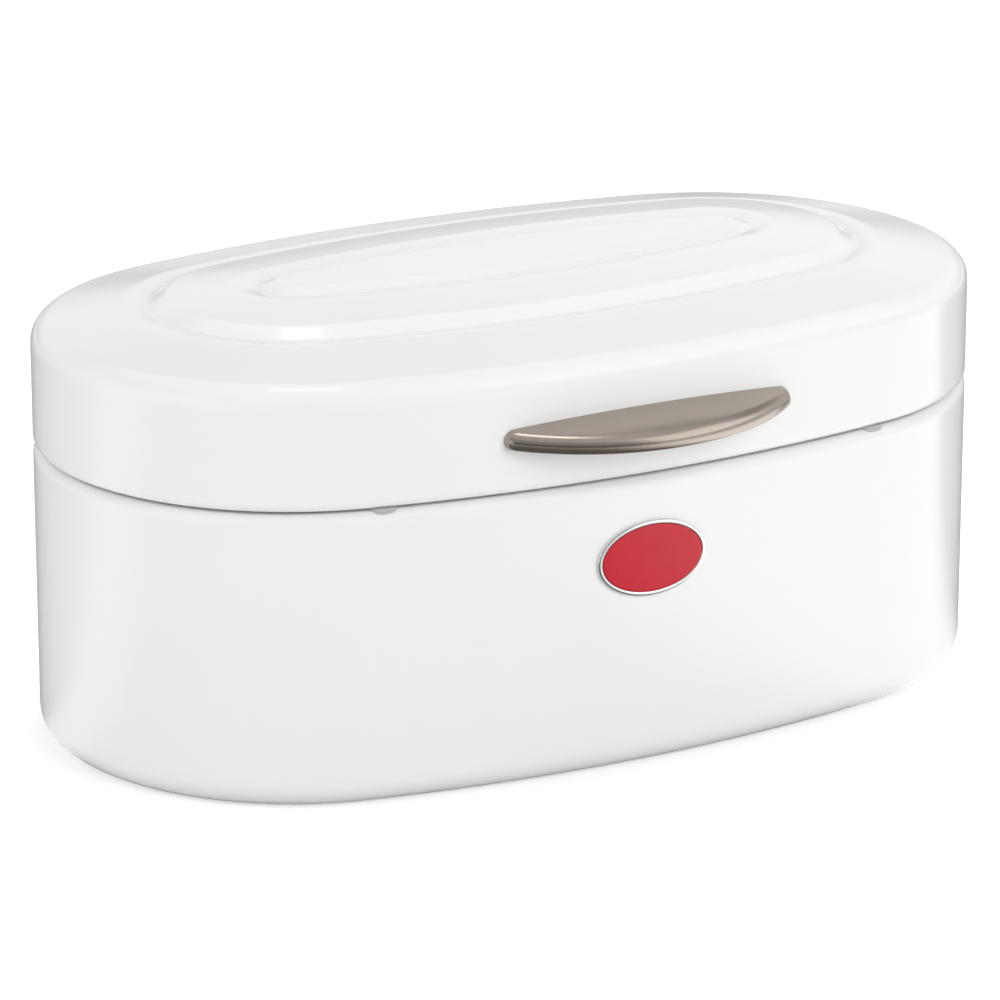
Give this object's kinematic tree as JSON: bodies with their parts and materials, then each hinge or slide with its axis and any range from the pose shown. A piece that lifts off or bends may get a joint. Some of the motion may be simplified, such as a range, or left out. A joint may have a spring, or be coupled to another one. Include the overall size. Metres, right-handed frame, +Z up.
{
  "type": "bread box",
  "caption": "Oval sheet-steel bread box with a hinged lid whose domed crown has two oval grooves, a half-moon metal handle, a plain oval badge and vent holes at the back.",
  "frame": {"origin": "on the table, under the middle of the oval body", "axes": "+X along the box to the right as seen from the front, -Y out of the front with the handle, +Z up"},
  "size_m": [0.34, 0.2233, 0.156],
  "materials": {
    "white_coat": "gloss white powder coat on drawn sheet steel",
    "satin_nickel": "satin nickel plate on a zinc casting",
    "badge_metal": "bright plated plate",
    "badge_red": "plain red resin filling",
    "clear_silicone": "clear silicone button",
    "hinge_steel": "pressed steel leaf with the box's white coat",
    "zinc_steel": "zinc-plated steel",
    "rivet_metal": "plain aluminium rivet",
    "washer_nylon": "natural nylon"
  },
  "bodies": {
    "base": {"body_shell": "white_coat", "badge_plate": "badge_metal", "badge_fill": "badge_red", "hinge_body_leaf": "hinge_steel", "hinge_pin": "zinc_steel", "hinge_body_rivets": "rivet_metal", "buffer_left": "clear_silicone", "buffer_right": "clear_silicone"},
    "lid": {"lid_shell": "white_coat", "handle": "satin_nickel", "handle_washers": "washer_nylon", "handle_screws": "zinc_steel", "hinge_lid_leaf": "hinge_steel", "hinge_lid_rivets": "rivet_metal"}
  },
  "joints": [
    {"name": "lid_hinge", "type": "hinge", "parent": "base", "child": "lid", "pos_m": [0, 0.1004, 0.1022], "axis": [-1, 0, 0], "range_deg": [0, 95]}
  ]
}
